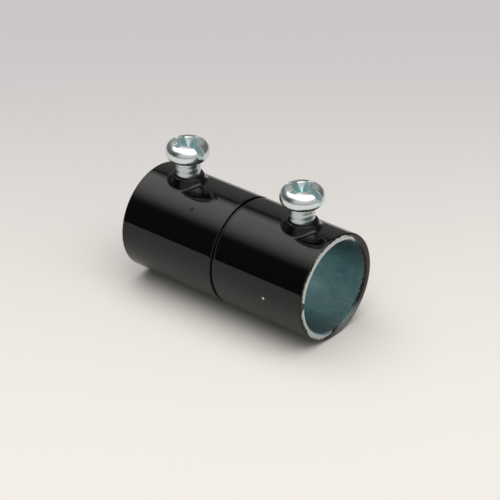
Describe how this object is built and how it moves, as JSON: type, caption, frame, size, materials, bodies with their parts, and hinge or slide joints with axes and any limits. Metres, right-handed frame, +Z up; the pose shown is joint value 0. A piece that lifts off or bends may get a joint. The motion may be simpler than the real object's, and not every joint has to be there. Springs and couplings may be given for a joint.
{
  "type": "conduit coupling",
  "caption": "Short steel tube that joins two lengths of thin-wall electrical conduit end to end, each held by a set screw in a pressed boss.",
  "frame": {"origin": "middle of the tube's length, on the surface that the tube lies on, under its axis", "axes": "+X along the tube to its right end, +Z up through the set screws"},
  "size_m": [0.0434, 0.0212, 0.0291],
  "materials": {
    "black_enamelled_steel": "gloss black enamel outside, bare blue-passivated zinc in the bore and on the cut rims",
    "zinc_plated_steel": "bright blue-passivated zinc plate"
  },
  "bodies": {
    "coupling": {"coupling_body": "black_enamelled_steel"},
    "left_screw": {"set_screw_left": "zinc_plated_steel"},
    "right_screw": {"set_screw_right": "zinc_plated_steel"}
  },
  "joints": [
    {"name": "left_screw_travel", "type": "slide", "parent": "coupling", "child": "left_screw", "axis": [0, 0, 1], "range_m": [-0.00326, 0.0009]},
    {"name": "right_screw_travel", "type": "slide", "parent": "coupling", "child": "right_screw", "axis": [0, 0, 1], "range_m": [-0.00326, 0.0009]}
  ]
}
